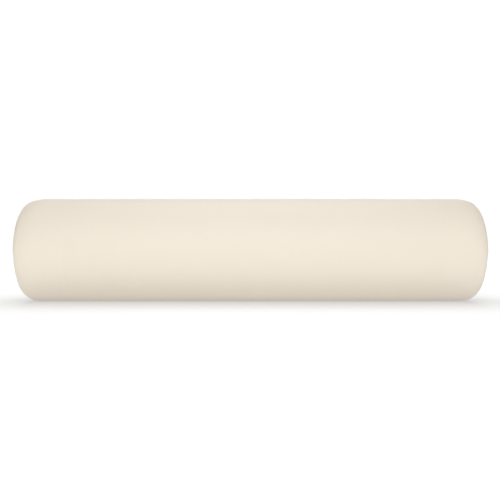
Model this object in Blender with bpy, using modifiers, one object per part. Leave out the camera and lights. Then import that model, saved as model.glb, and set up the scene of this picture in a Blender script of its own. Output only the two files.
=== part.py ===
"""Full-round bolster pillow: a foam log in wadding, a slip liner and a zipped soft-vinyl cover.

X runs along the bolster, +Y points to the back, where the zip is, and +Z points up. The origin lies
on the surface that the bolster rests on, below its middle. All sizes are in metres.
"""

import math

import bmesh
import bpy
from mathutils import Matrix, Vector

# Overall shape
BOLSTER_LENGTH = 0.6604
BOLSTER_DIAMETER = 0.1524
REST_FLATTENING = 0.002
END_CROWN = 0.003
RIM_LENGTH = 0.024
RIM_SHARPNESS = 23.0
RIM_EASE = 1.2
END_SEAM_INSET = 0.0157

# Layers, from the outside in
COVER_THICKNESS = 0.0012
LINER_THICKNESS = 0.0006
WADDING_THICKNESS = 0.010
LINER_MOUTH_RADIUS = 0.025
SEAM_THREAD_RADIUS = 0.0004
LAYER_GAP = 0.0003

# Zip, in the middle of the back
ZIP_END_MARGIN = 0.0762
SLOT_CLEARANCE = 0.00065
TAPE_WIDTH = 0.014
TAPE_THICKNESS = 0.0005
TAPE_TAIL = 0.012
PRESS_OVERRUN = 0.008
CHAIN_WIDTH = 0.0058
CHAIN_THICKNESS = 0.0024
TOOTH_PITCH = 0.0031
TOOTH_ROOT = 0.0015
TOOTH_TIP = 0.0010
TOOTH_REACH = 0.0009
STITCH_MARGIN = 0.003
STITCH_RADIUS = 0.0003

# Stops, clamped round the tapes' edges
STOP_GRIP = 0.0021
STOP_SETBACK = 0.0015
TOP_STOP_LENGTH = 0.0035
BOTTOM_STOP_LENGTH = 0.005
TAPE_SLIT_PLAY = 0.0005

# Slider
SLIDER_LENGTH = 0.0115
SLIDER_WING = 0.0009
SLIDER_FLANGE = 0.00115
SLIDER_FLARE = 0.0017
SLIDER_CORNER = 0.0014
CHANNEL_PLAY = 0.0002
POST_WIDTH = 0.0022
POST_LENGTH = 0.0032
POST_SETBACK = 0.00095
ARCH_REACH = 0.0033
ARCH_THICKNESS = 0.0009
ARCH_CHAMFER = 0.0008
ARCH_WIDTH = 0.0024

# Pull tab, whose bar turns under the slider's arch
TAB_LENGTH = 0.024
TAB_THICKNESS = 0.0011
TAB_BAR = 0.0012
TAB_ARM = 0.0019
TAB_EYE_PLAY = 0.0004
TAB_EYE_SWING = 0.0016
TAB_HOLE_LENGTH = 0.007
TAB_HOLE_WIDTH = 0.0035
TAB_CORNER = 0.0012
TAB_BEVEL = 0.00025
TAB_LIFT = 0.00095

# Fineness of the round shapes
SIDES = 56
RIM_STEPS = 5
RIM_KNEE = 0.8

RADIUS = BOLSTER_DIAMETER / 2
HALF_LENGTH = BOLSTER_LENGTH / 2
AXIS_HEIGHT = RADIUS - REST_FLATTENING
LINER_INSET = COVER_THICKNESS + LAYER_GAP
WADDING_INSET = LINER_INSET + LINER_THICKNESS + LAYER_GAP
FOAM_RADIUS = RADIUS - WADDING_INSET - WADDING_THICKNESS - LAYER_GAP
FOAM_HALF = HALF_LENGTH - WADDING_INSET - END_CROWN - RIM_LENGTH - LAYER_GAP
END_SEAM_RADIUS = RADIUS - END_SEAM_INSET
SEAM_GAP = SEAM_THREAD_RADIUS + LAYER_GAP

SLOT_HALF = HALF_LENGTH - ZIP_END_MARGIN
TAPE_OUTER = RADIUS - COVER_THICKNESS - LAYER_GAP
TAPE_INNER = TAPE_OUTER - TAPE_THICKNESS
TAPE_EDGE = CHAIN_WIDTH / 2 + LAYER_GAP
TAPE_SLIT_LOW = TAPE_INNER - TAPE_SLIT_PLAY
TAPE_SLIT_HIGH = TAPE_OUTER + TAPE_SLIT_PLAY
CHAIN_MIDDLE = (TAPE_OUTER + TAPE_INNER) / 2
CHANNEL_HALF_HEIGHT = CHAIN_THICKNESS / 2 + CHANNEL_PLAY
CHANNEL_LOW = CHAIN_MIDDLE - CHANNEL_HALF_HEIGHT
CHANNEL_HIGH = CHAIN_MIDDLE + CHANNEL_HALF_HEIGHT
WING_LOW = CHANNEL_LOW - SLIDER_WING
WING_HIGH = CHANNEL_HIGH + SLIDER_WING
SLIDER_TAIL = TAPE_EDGE + SLIDER_FLANGE
SLIDER_MOUTH = SLIDER_TAIL + SLIDER_FLARE
SLOT_WIDTH = 2 * (SLIDER_MOUTH + SLOT_CLEARANCE)
PRESS_REACH = SLOT_HALF + TAPE_TAIL + PRESS_OVERRUN
PIVOT_REACH = WING_HIGH + TAB_LIFT

# Places along the zip, from the bottom stop (-X) to the top stops (+X)
ZIP_BOTTOM = -SLOT_HALF + STOP_SETBACK
CHAIN_START = ZIP_BOTTOM + BOTTOM_STOP_LENGTH + LAYER_GAP
TOP_STOP_START = SLOT_HALF - STOP_SETBACK - TOP_STOP_LENGTH
SLIDER_X = TOP_STOP_START - LAYER_GAP - SLIDER_LENGTH / 2
POST_START = SLIDER_LENGTH / 2 - POST_SETBACK - POST_LENGTH
CHAIN_END = SLIDER_X + POST_START - LAYER_GAP

ALONG_X = Matrix(((0, 0, 1, 0), (1, 0, 0, 0), (0, 1, 0, 0), (0, 0, 0, 1)))
FACING_BACK = Matrix.Rotation(math.pi / 2, 4, "X")
AXIS_TO_X = Matrix.Rotation(math.pi / 2, 4, "Y")
LIFT_TO_AXIS = Matrix.Translation((0, 0, AXIS_HEIGHT))

COLOURS = {
    "vinyl": ((0.86, 0.80, 0.68), 0.45, 0.0),
    "thread": ((0.84, 0.78, 0.67), 0.6, 0.0),
    "foam": ((0.90, 0.86, 0.62), 0.9, 0.0),
    "wadding": ((0.92, 0.92, 0.90), 1.0, 0.0),
    "liner": ((0.88, 0.87, 0.84), 0.9, 0.0),
    "tape": ((0.82, 0.76, 0.65), 0.85, 0.0),
    "teeth": ((0.80, 0.74, 0.62), 0.4, 0.0),
    "metal": ((0.70, 0.69, 0.66), 0.28, 1.0),
}


def clear_scene():
    for obj in list(bpy.data.objects):
        bpy.data.objects.remove(obj)


def new_collection(name):
    collection = bpy.data.collections.new(name)
    bpy.context.scene.collection.children.link(collection)
    return collection


def material(finish):
    found = bpy.data.materials.get(finish)
    if found:
        return found
    colour, roughness, metallic = COLOURS[finish]
    made = bpy.data.materials.new(finish)
    made.use_nodes = True
    shader = made.node_tree.nodes["Principled BSDF"]
    shader.inputs["Base Color"].default_value = (*colour, 1.0)
    shader.inputs["Roughness"].default_value = roughness
    shader.inputs["Metallic"].default_value = metallic
    made.diffuse_color = (*colour, 1.0)
    return made


def add_piece(name, mesh, finish):
    """One finished sub-part in the bolster's collection."""
    mesh.name = name
    mesh.materials.clear()
    mesh.materials.append(material(finish))
    mesh.shade_smooth()
    mesh.set_sharp_from_angle(angle=math.radians(35))
    obj = bpy.data.objects.new(name, mesh)
    PARTS.objects.link(obj)
    return obj


def add_cutter(name, mesh):
    """A shape that only cuts or joins: it is never rendered."""
    obj = bpy.data.objects.new(name, mesh)
    obj.hide_render = True
    obj.display_type = "WIRE"
    CUTTERS.objects.link(obj)
    return obj


def boolean(target, tool, operation):
    modifier = target.modifiers.new(operation.title(), "BOOLEAN")
    modifier.operation = operation
    modifier.solver = "EXACT"
    modifier.object = tool


def mesh_of(obj):
    """The object's evaluated mesh, with its loose caps welded. The object itself is removed."""
    bpy.context.scene.collection.objects.link(obj)
    bpy.context.view_layer.update()
    graph = bpy.context.evaluated_depsgraph_get()
    mesh = bpy.data.meshes.new_from_object(obj.evaluated_get(graph))
    mesh.transform(obj.matrix_world)
    bpy.data.objects.remove(obj)
    shape = bmesh.new()
    shape.from_mesh(mesh)
    bmesh.ops.remove_doubles(shape, verts=shape.verts, dist=0.000005)
    shape.to_mesh(mesh)
    shape.free()
    return mesh


def turned(profile, closed=False):
    """A profile of (along, radius) points, listed from the +X end, turned about the bolster's axis."""
    line = bpy.data.meshes.new("profile")
    points = [(radius, 0, along) for along, radius in profile]
    edges = [(i, i + 1) for i in range(len(points) - 1)]
    if closed:
        edges.append((len(points) - 1, 0))
    line.from_pydata(points, edges, [])
    obj = bpy.data.objects.new("profile", line)
    screw = obj.modifiers.new("Screw", "SCREW")
    screw.axis = "Z"
    screw.steps = SIDES
    screw.render_steps = SIDES
    screw.use_merge_vertices = True
    screw.merge_threshold = 0.00001
    mesh = mesh_of(obj)
    mesh.transform(LIFT_TO_AXIS @ AXIS_TO_X)
    return mesh


def flat_shape(outlines, thickness, place):
    """Closed outlines, a hole being one inside another, filled and given a thickness about z = 0."""
    curve = bpy.data.curves.new("outline", "CURVE")
    curve.dimensions = "2D"
    curve.fill_mode = "BOTH"
    curve.extrude = thickness / 2
    for outline in outlines:
        spline = curve.splines.new("POLY")
        spline.points.add(len(outline) - 1)
        for point, (x, y) in zip(spline.points, outline):
            point.co = (x, y, 0, 1)
        spline.use_cyclic_u = True
    obj = bpy.data.objects.new("outline", curve)
    obj.matrix_world = place
    return mesh_of(obj)


def box_mesh(low, high):
    """A box between two corners."""
    mesh = bpy.data.meshes.new("box")
    shape = bmesh.new()
    size = Vector(high) - Vector(low)
    middle = (Vector(high) + Vector(low)) / 2
    place = Matrix.Translation(middle) @ Matrix.Diagonal((*size, 1))
    bmesh.ops.create_cube(shape, size=1, matrix=place)
    shape.to_mesh(mesh)
    shape.free()
    return mesh


def shell(obj, thickness):
    """Gives an open surface its wall, inwards."""
    modifier = obj.modifiers.new("Solidify", "SOLIDIFY")
    modifier.thickness = thickness
    modifier.offset = -1
    modifier.use_even_offset = True
    modifier.use_quality_normals = True
    return obj


def surface_along(radius, inset):
    """How far along X the surface lies at this radius, for a layer this far inside the cover."""
    share = radius / (RADIUS - inset)
    rounding = 1 - (1 - share**RIM_SHARPNESS) ** (1 / RIM_EASE)
    return HALF_LENGTH - inset - END_CROWN * share**2 - RIM_LENGTH * rounding


def end_profile(inner_radius, inset):
    """The (along, radius) points of a layer's +X end, from a radius out to the straight side."""
    outer = RADIUS - inset
    knee = RIM_KNEE * outer
    radii = []
    if inner_radius < knee:
        radii = [inner_radius + (knee - inner_radius) * i / 2 for i in range(2)]
    spread = outer - max(inner_radius, knee)
    radii += [outer - spread * (1 - i / RIM_STEPS) ** 2 for i in range(RIM_STEPS + 1)]
    return [(surface_along(radius, inset), radius) for radius in radii]


def mirrored(profile):
    """The same end at -X, listed so that the profile still runs from +X to -X."""
    return [(-along, radius) for along, radius in reversed(profile)]


def press_on_floor(mesh, inset):
    """Flattens a layer where the bolster's weight rests on it."""
    for vertex in mesh.vertices:
        vertex.co.z = max(vertex.co.z, inset)


def press_behind_zip(mesh, inset):
    """Flattens a layer under the zip, so that the slider has room to run."""
    level = WING_LOW - LAYER_GAP - (inset - LINER_INSET)
    for vertex in mesh.vertices:
        if abs(vertex.co.x) < PRESS_REACH + LAYER_GAP:
            vertex.co.y = min(vertex.co.y, level)


def zip_stations():
    """Rings of a layer's straight side, between which it is pressed flat behind the zip."""
    ramp = 2 * (RADIUS - WING_LOW)
    return [PRESS_REACH + ramp, PRESS_REACH, -PRESS_REACH, -PRESS_REACH - ramp]


def build_foam_core():
    profile = [(FOAM_HALF, 0), (FOAM_HALF, FOAM_RADIUS), (-FOAM_HALF, FOAM_RADIUS), (-FOAM_HALF, 0)]
    add_piece("foam_core", turned(profile), "foam")


def build_wadding():
    outer = RADIUS - WADDING_INSET
    inner = FOAM_RADIUS + LAYER_GAP
    side = [FOAM_HALF, *zip_stations(), -FOAM_HALF]
    profile = [(along, outer) for along in side]
    profile += [(-FOAM_HALF, inner), (FOAM_HALF, inner)]
    wrap = turned(profile, closed=True)
    press_on_floor(wrap, WADDING_INSET)
    press_behind_zip(wrap, WADDING_INSET)
    add_piece("wadding_wrap", wrap, "wadding")
    right = end_profile(0, WADDING_INSET)
    right += [(FOAM_HALF + LAYER_GAP, outer), (FOAM_HALF + LAYER_GAP, 0)]
    for name, ends in (("right_end_wadding", right), ("left_end_wadding", mirrored(right))):
        pad = turned(ends)
        press_on_floor(pad, WADDING_INSET)
        add_piece(name, pad, "wadding")


def build_liner():
    right = end_profile(LINER_MOUTH_RADIUS, LINER_INSET)
    side = [(along, RADIUS - LINER_INSET) for along in zip_stations()]
    surface = turned(right + side + mirrored(right))
    press_on_floor(surface, LINER_INSET)
    press_behind_zip(surface, LINER_INSET)
    shell(add_piece("inner_liner", surface, "liner"), LINER_THICKNESS)


def build_cover():
    right = end_profile(END_SEAM_RADIUS + SEAM_GAP, 0)
    surface = turned(right + mirrored(right))
    press_on_floor(surface, 0)
    panel = shell(add_piece("cover_body_panel", surface, "vinyl"), COVER_THICKNESS)
    low = (-SLOT_HALF, RADIUS / 2, AXIS_HEIGHT - SLOT_WIDTH / 2)
    high = (SLOT_HALF, RADIUS * 2, AXIS_HEIGHT + SLOT_WIDTH / 2)
    boolean(panel, add_cutter("zip_slot", box_mesh(low, high)), "DIFFERENCE")
    edge = END_SEAM_RADIUS - SEAM_GAP
    radii = [edge * i / 3 for i in range(4)]
    disc = [(surface_along(radius, 0), radius) for radius in radii]
    for name, ends in (("right_end_panel", disc), ("left_end_panel", mirrored(disc))):
        shell(add_piece(name, turned(ends), "vinyl"), COVER_THICKNESS)


def build_seam_threads():
    sink = COVER_THICKNESS / 2
    for name, side in (("right_end_seam_thread", 1), ("left_end_seam_thread", -1)):
        bpy.ops.mesh.primitive_torus_add(
            major_radius=END_SEAM_RADIUS,
            minor_radius=SEAM_THREAD_RADIUS,
            major_segments=SIDES,
            minor_segments=6,
        )
        torus = bpy.context.object
        mesh = torus.data
        bpy.data.objects.remove(torus)
        along = side * (surface_along(END_SEAM_RADIUS, 0) - sink)
        mesh.transform(Matrix.Translation((along, 0, AXIS_HEIGHT)) @ AXIS_TO_X)
        add_piece(name, mesh, "thread")


def build_tapes():
    length = 2 * (SLOT_HALF + TAPE_TAIL)
    steps = 4
    first = math.asin(TAPE_EDGE / TAPE_INNER)
    last = math.asin((TAPE_EDGE + TAPE_WIDTH) / TAPE_INNER)
    angles = [first + (last - first) * i / steps for i in range(steps + 1)]
    for name, side in (("zip_upper_tape", 1), ("zip_lower_tape", -1)):
        outer = [(TAPE_OUTER * math.cos(a), side * TAPE_OUTER * math.sin(a)) for a in angles]
        inner = [(TAPE_INNER * math.cos(a), side * TAPE_INNER * math.sin(a)) for a in angles]
        outline = outer + inner[::-1]
        add_piece(name, flat_shape([outline], length, LIFT_TO_AXIS @ ALONG_X), "tape")


def comb_outline(side, shift):
    """One row of teeth on its spine, in (along, across) points. side is +1 for the upper row."""
    outer = CHAIN_WIDTH / 2
    inner = TOOTH_REACH + LAYER_GAP
    count = math.floor((CHAIN_END - CHAIN_START - TOOTH_ROOT) / TOOTH_PITCH + 0.5)
    points = [(CHAIN_END, outer), (CHAIN_START, outer), (CHAIN_START, inner)]
    for i in range(count):
        middle = CHAIN_START + TOOTH_ROOT / 2 + shift + i * TOOTH_PITCH
        points.append((middle - TOOTH_ROOT / 2, inner))
        points.append((middle - TOOTH_TIP / 2, -TOOTH_REACH))
        points.append((middle + TOOTH_TIP / 2, -TOOTH_REACH))
        points.append((middle + TOOTH_ROOT / 2, inner))
    points.append((CHAIN_END, inner))
    return [(along, side * across) for along, across in points]


def zip_place(reach, along=0.0):
    """Where an outline in (along, across) points lies, this far out from the bolster's axis."""
    return Matrix.Translation((along, reach, AXIS_HEIGHT)) @ FACING_BACK


def build_teeth():
    for name, side, shift in (
        ("zip_upper_teeth", 1, LAYER_GAP),
        ("zip_lower_teeth", -1, LAYER_GAP + TOOTH_PITCH / 2),
    ):
        outline = comb_outline(side, shift)
        add_piece(name, flat_shape([outline], CHAIN_THICKNESS, zip_place(CHAIN_MIDDLE)), "teeth")


def stop_outline():
    """Half a clamped stop's section in (out, across) points, slit for the tape that it grips."""
    root = CHAIN_WIDTH / 2
    edge = root + STOP_GRIP
    points = [(CHANNEL_HIGH, edge), (TAPE_SLIT_HIGH, edge), (TAPE_SLIT_HIGH, root)]
    return points + [(TAPE_SLIT_LOW, root), (TAPE_SLIT_LOW, edge), (CHANNEL_LOW, edge)]


def stop_place(start, length):
    return Matrix.Translation((start + length / 2, 0, AXIS_HEIGHT)) @ ALONG_X


def build_stops():
    upper = stop_outline()
    upper += [(CHANNEL_LOW, LAYER_GAP / 2), (CHANNEL_HIGH, LAYER_GAP / 2)]
    place = stop_place(TOP_STOP_START, TOP_STOP_LENGTH)
    for name, side in (("zip_upper_top_stop", 1), ("zip_lower_top_stop", -1)):
        outline = [(out, side * across) for out, across in upper]
        add_piece(name, flat_shape([outline], TOP_STOP_LENGTH, place), "metal")
    both = stop_outline()
    both += [(out, -across) for out, across in reversed(both)]
    place = stop_place(ZIP_BOTTOM, BOTTOM_STOP_LENGTH)
    add_piece("zip_bottom_stop", flat_shape([both], BOTTOM_STOP_LENGTH, place), "metal")


def build_topstitching():
    """The thread that holds the tapes: one closed run round the slot, on the cover's curve."""
    reach = RADIUS + LAYER_GAP + STITCH_RADIUS
    turn = (SLOT_WIDTH / 2 + STITCH_MARGIN) / reach
    end = SLOT_HALF + STITCH_MARGIN
    steps = 6
    right = [(end, turn * (1 - 2 * i / steps)) for i in range(steps + 1)]
    left = [(-along, -angle) for along, angle in right]
    curve = bpy.data.curves.new("topstitching", "CURVE")
    curve.dimensions = "3D"
    curve.bevel_depth = STITCH_RADIUS
    curve.bevel_resolution = 1
    spline = curve.splines.new("POLY")
    spline.points.add(len(right) + len(left) - 1)
    for point, (along, angle) in zip(spline.points, right + left):
        out = reach * math.cos(angle)
        up = reach * math.sin(angle)
        point.co = (along, out, AXIS_HEIGHT + up, 1)
    spline.use_cyclic_u = True
    mesh = mesh_of(bpy.data.objects.new("topstitching", curve))
    add_piece("zip_topstitching", mesh, "thread")


def slider_outline():
    """The slider's shield shape in (along, across) points, tail to mouth and back."""
    half = SLIDER_LENGTH / 2
    upper = [(-half, SLIDER_TAIL - SLIDER_CORNER / 2), (SLIDER_CORNER / 2 - half, SLIDER_TAIL)]
    upper += [(0, SLIDER_TAIL), (half - 2 * SLIDER_CORNER, SLIDER_MOUTH)]
    upper += [(half - SLIDER_CORNER, SLIDER_MOUTH), (half, SLIDER_MOUTH - SLIDER_CORNER)]
    return upper + [(along, -across) for along, across in reversed(upper)]


def channel_outline():
    """The way through the slider for the teeth, cut past both ends of it."""
    tail = SLIDER_TAIL - SLIDER_FLANGE
    mouth = SLIDER_MOUTH - SLIDER_FLANGE
    upper = [(-SLIDER_LENGTH, tail), (0, tail)]
    upper += [(SLIDER_LENGTH / 2 - SLIDER_CORNER, mouth), (SLIDER_LENGTH, mouth)]
    return upper + [(along, -across) for along, across in reversed(upper)]


def post_outline():
    middle = POST_START + POST_LENGTH / 2
    upper = [(POST_START, 0), (middle, POST_WIDTH / 2), (POST_START + POST_LENGTH, 0)]
    return upper + [(middle, -POST_WIDTH / 2)]


def arch_outline():
    """The arch that holds the pull tab, as (along, out) points from the bolster's axis."""
    foot = WING_HIGH - SLIDER_WING / 2
    roof = PIVOT_REACH + TAB_BAR / 2 + LAYER_GAP
    top = roof + ARCH_THICKNESS
    inner = ARCH_REACH - ARCH_THICKNESS
    ease = ARCH_CHAMFER / 2
    outside = [(ARCH_REACH, foot), (ARCH_REACH, top - ARCH_CHAMFER), (ARCH_REACH - ARCH_CHAMFER, top)]
    inside = [(inner - ease, roof), (inner, roof - ease), (inner, foot)]
    left_outside = [(-along, out) for along, out in reversed(outside)]
    left_inside = [(-along, out) for along, out in reversed(inside)]
    return outside + left_outside + left_inside + inside


def build_slider():
    place = zip_place(CHAIN_MIDDLE, SLIDER_X)
    height = WING_HIGH - WING_LOW
    body = add_piece("zip_slider_body", flat_shape([slider_outline()], height, place), "metal")
    channel = flat_shape([channel_outline()], 2 * CHANNEL_HALF_HEIGHT, place)
    boolean(body, add_cutter("slider_channel", channel), "DIFFERENCE")
    low = (SLIDER_X - SLIDER_LENGTH, TAPE_SLIT_LOW, AXIS_HEIGHT - SLIDER_LENGTH)
    high = (SLIDER_X + SLIDER_LENGTH, TAPE_SLIT_HIGH, AXIS_HEIGHT + SLIDER_LENGTH)
    boolean(body, add_cutter("slider_tape_slit", box_mesh(low, high)), "DIFFERENCE")
    post = flat_shape([post_outline()], height - SLIDER_WING, place)
    boolean(body, add_cutter("slider_post", post), "UNION")
    arch_place = Matrix.Translation((SLIDER_X, 0, AXIS_HEIGHT))
    arch = flat_shape([arch_outline()], ARCH_WIDTH, arch_place)
    boolean(body, add_cutter("slider_arch", arch), "UNION")


def rounded_rectangle(left, right, half_width, radius, steps):
    """A rounded rectangle in (along, across) points."""
    points = []
    corners = ((right, 1, 0), (left, 1, 1), (left, -1, 2), (right, -1, 3))
    for end, side, quarter in corners:
        centre_x = end - radius if end == right else end + radius
        centre_y = side * (half_width - radius)
        for i in range(steps + 1):
            angle = (quarter + i / steps) * math.pi / 2
            points.append((centre_x + radius * math.cos(angle), centre_y + radius * math.sin(angle)))
    return points


def build_pull_tab():
    """The tab at its own origin, on the axis that it flips about, pointing along -X."""
    bar = TAB_BAR / 2
    end = bar - TAB_LENGTH
    eye_half = ARCH_WIDTH / 2 + TAB_EYE_PLAY
    outline = rounded_rectangle(end, bar, eye_half + TAB_ARM, TAB_CORNER, 3)
    eye = rounded_rectangle(-ARCH_REACH - TAB_EYE_SWING, -bar, eye_half, bar / 2, 1)
    hole_start = end + TAB_ARM
    hole_end = hole_start + TAB_HOLE_LENGTH
    hole = rounded_rectangle(hole_start, hole_end, TAB_HOLE_WIDTH / 2, TAB_CORNER, 3)
    mesh = flat_shape([outline, eye, hole], TAB_THICKNESS, FACING_BACK)
    tab = add_piece("zip_pull_tab", mesh, "metal")
    tab.location = (SLIDER_X, PIVOT_REACH, AXIS_HEIGHT)
    bevel = tab.modifiers.new("Bevel", "BEVEL")
    bevel.width = TAB_BEVEL
    bevel.segments = 1
    bevel.limit_method = "ANGLE"
    bevel.angle_limit = math.radians(60)


clear_scene()
PARTS = new_collection("bolster_pillow")
CUTTERS = new_collection("cutters")
build_foam_core()
build_wadding()
build_liner()
build_cover()
build_seam_threads()
build_tapes()
build_teeth()
build_stops()
build_topstitching()
build_slider()
build_pull_tab()
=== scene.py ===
"""Looks of a full-round massage bolster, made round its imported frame.

X runs along the bolster, -Y is its front, +Y its back, where the zip is, and Z points up. Sizes are
in metres. Angles round the bolster start at the back and turn over the top towards the front.
"""

import math

import bmesh
import bpy
import numpy as np
from bpy.props import FloatProperty, FloatVectorProperty, IntProperty, PointerProperty
from mathutils import Matrix, Vector, noise


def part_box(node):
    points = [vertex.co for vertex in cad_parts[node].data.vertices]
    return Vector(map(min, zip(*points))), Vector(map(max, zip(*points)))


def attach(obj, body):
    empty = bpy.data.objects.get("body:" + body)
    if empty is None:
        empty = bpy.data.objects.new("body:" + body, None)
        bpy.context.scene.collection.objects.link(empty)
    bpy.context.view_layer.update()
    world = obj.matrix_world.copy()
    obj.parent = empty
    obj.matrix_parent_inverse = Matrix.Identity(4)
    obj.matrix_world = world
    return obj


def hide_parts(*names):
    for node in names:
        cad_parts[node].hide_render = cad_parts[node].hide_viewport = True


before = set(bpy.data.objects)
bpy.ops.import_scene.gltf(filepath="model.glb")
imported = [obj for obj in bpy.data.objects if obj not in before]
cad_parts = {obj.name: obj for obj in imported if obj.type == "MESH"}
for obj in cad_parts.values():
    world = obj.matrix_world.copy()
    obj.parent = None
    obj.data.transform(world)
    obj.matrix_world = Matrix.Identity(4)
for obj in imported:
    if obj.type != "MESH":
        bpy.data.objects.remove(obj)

bl_info = {
    "name": "Massage bolster looks",
    "version": (1, 0, 0),
    "blender": (4, 5, 0),
    "location": "3D View > Sidebar > Bolster",
    "description": "Soft-vinyl cover, fill, zip and studio of a full-round massage bolster",
    "category": "Object",
}

FULL_TURN = 2 * math.pi

# The frame's own sizes
PANEL_LOW, PANEL_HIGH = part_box("cover_body_panel")
RADIUS = (PANEL_HIGH.y - PANEL_LOW.y) / 2
AXIS_HEIGHT = PANEL_HIGH.z - RADIUS
AXIS = Vector((0, 0, AXIS_HEIGHT))
HALF_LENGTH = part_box("right_end_panel")[1].x
THREAD_LOW, THREAD_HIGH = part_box("right_end_seam_thread")
THREAD_RADIUS = 0.0004
SEAM_RADIUS = (THREAD_HIGH.z - THREAD_LOW.z) / 2 - THREAD_RADIUS
FOAM_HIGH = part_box("foam_core")[1]
WADDING_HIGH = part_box("wadding_wrap")[1]
LINER_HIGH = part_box("inner_liner")[1]
TAPE_LOW, TAPE_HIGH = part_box("zip_upper_tape")
TEETH_LOW, TEETH_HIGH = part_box("zip_upper_teeth")
SLIDER_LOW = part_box("zip_slider_body")[0]
STITCH_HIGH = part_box("zip_topstitching")[1]
STITCH_RADIUS = 0.0003
STITCH_MARGIN = 0.003
SLOT_HALF = STITCH_HIGH.x - STITCH_RADIUS - STITCH_MARGIN
SLOT_RISE = STITCH_HIGH.z - AXIS_HEIGHT - STITCH_RADIUS - STITCH_MARGIN
CHAIN_MIDDLE = (TEETH_LOW.y + TEETH_HIGH.y) / 2

# The two ends, each with the side of X that it lies on
ENDS = (("right", 1), ("left", -1))

# How the shapes are made
MERGE_DISTANCE = 0.00001
NODE_MERGE_DISTANCE = 0.000005
RIM_SAMPLES = 600
FLOOR_SOFTNESS = 0.001
ZIP_PRESS_FADE = 0.03
ZIP_PRESS_SOFTNESS = 0.0006
SWELL_FRAMES = 20
SWELL_CLOTH = {
    "mass": 0.01,
    "quality": 6,
    "tension_stiffness": 1.5,
    "compression_stiffness": 1.5,
    "shear_stiffness": 0.8,
    "bending_stiffness": 0.05,
    "use_pressure": True,
    "uniform_pressure_force": 40,
}
EVENING_ROUNDS = 12

# Each softbox with its place and its two sides
SOFTBOXES = (
    ("low", (0.0, -1.5, 0.6), (1.6, 0.5)),
    ("high", (0.0, -1.1, 1.15), (1.6, 0.5)),
    ("top", (0.0, 0.0, 1.5), (1.2, 1.0)),
    ("rear", (0.0, 0.5, 1.3), (1.3, 0.5)),
)

# How far each seam's mark reaches
HEM_REACH = 0.0011
STITCH_PULL_REACH = 0.0006
CLOSING_REACH = 0.0011
END_DEPTH = 0.012
SEAM_CREASE = 0.0014
STITCH_CREASE = 0.0005
CLOSING_CREASE = 0.0007


def size(name, text, default, unit="LENGTH"):
    """A length in metres, or a plain number if unit is NONE."""
    return FloatProperty(name=name, description=text, default=default, unit=unit, precision=4, min=0)


def number_of(name, text, default):
    return IntProperty(name=name, description=text, default=default, min=3)


def colour(name, text, default):
    return FloatVectorProperty(
        name=name, description=text, default=default, size=3, subtype="COLOR", min=0, max=1
    )


class CoverLooks(bpy.types.PropertyGroup):
    """Shape and finish of the soft-vinyl cover."""

    thickness: size("Vinyl thickness", "Wall of the cover", 0.0012)
    end_crown: size("End crown", "How far an end stands out in its middle", 0.003)
    rim_length: size("Rim length", "Length of the rounding at each end", 0.024)
    rim_sharpness: size("Rim sharpness", "How late the rounding starts across the end", 23.0, "NONE")
    rim_ease: size("Rim ease", "How softly the rounding runs into the side", 1.2, "NONE")
    start_slack: size("Start slack", "How much smaller the skin is before it swells", 0.0005)
    swell_limit: size("Swell limit", "The most that the skin moves as it swells", 0.0009)
    seam_roll: size("Seam roll", "Radius at which a panel turns into its end seam", 0.0016)
    seam_gap: size("Seam gap", "Gap between the two panels in an end seam", 0.0001)
    seam_sink: size("Seam sink", "How deep an end seam pulls the skin in", 0.0009)
    seam_reach: size("Seam reach", "How far from the seam the skin is pulled in", 0.0045)
    pucker_depth: size("Pucker depth", "Depth of the gathers beside an end seam", 0.0009)
    pucker_reach: size("Pucker reach", "How far the gathers run from an end seam", 0.0135)
    hem_rise: size("Hem rise", "How proud the folded edge stands beside the zip", 0.0004)
    groove: size("Closing seam depth", "Depth of the seam past each end of the zip", 0.0009)
    pucker_count: number_of("Gathers", "Gathers round an end seam", 46)
    vinyl: colour("Vinyl", "Colour of the cover", (0.925, 0.84, 0.715))
    backing: colour("Backing", "Colour of the knit behind the vinyl", (0.78, 0.76, 0.72))


class FillLooks(bpy.types.PropertyGroup):
    """Shape and finish of what is inside the cover."""

    foam_ease: size("Foam edge", "Rounding of the foam log's edges", 0.0035)
    foam_unevenness: size("Foam unevenness", "How much the cut foam varies", 0.0005)
    loft: size("Wadding loft", "How much the wadding's surface varies", 0.0008)
    lap: size("Wadding lap", "Step where the rolled wadding overlaps", 0.0011)
    liner_thickness: size("Liner thickness", "Thickness of the knitted liner", 0.0006)
    gather_depth: size("Liner gathers", "Depth of the gathers at the liner's mouths", 0.0016)
    gather_count: number_of("Liner gather count", "Gathers round a mouth", 30)
    foam: colour("Foam", "Colour of the foam log", (0.86, 0.78, 0.46))
    wadding: colour("Wadding", "Colour of the wadding", (0.88, 0.88, 0.86))
    liner: colour("Liner", "Colour of the liner", (0.82, 0.80, 0.75))


class ZipLooks(bpy.types.PropertyGroup):
    """Shape and finish of the zip and the threads."""

    stitch_pitch: size("Stitch pitch", "Length of one stitch", 0.0033)
    seam_pitch: size("Seam stitch pitch", "Length of one stitch in an end seam", 0.0029)
    tooth_pitch: size("Tooth pitch", "Distance between teeth of one row", 0.0031)
    tooth_bevel: size("Tooth bevel", "Rounding of a tooth's edges", 0.00022)
    cord_radius: size("Tape cord radius", "Cord along the tape's edge that holds the teeth", 0.00065)
    metal_bevel: size("Metal bevel", "Rounding of the cast slider's edges", 0.00022)
    tape: colour("Tape", "Colour of the woven tape", (0.74, 0.66, 0.53))
    teeth: colour("Teeth", "Colour of the moulded teeth", (0.80, 0.73, 0.60))
    thread: colour("Thread", "Colour of the stitching", (0.76, 0.68, 0.55))
    metal: colour("Metal", "Colour of the nickel plate", (0.72, 0.70, 0.66))


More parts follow.
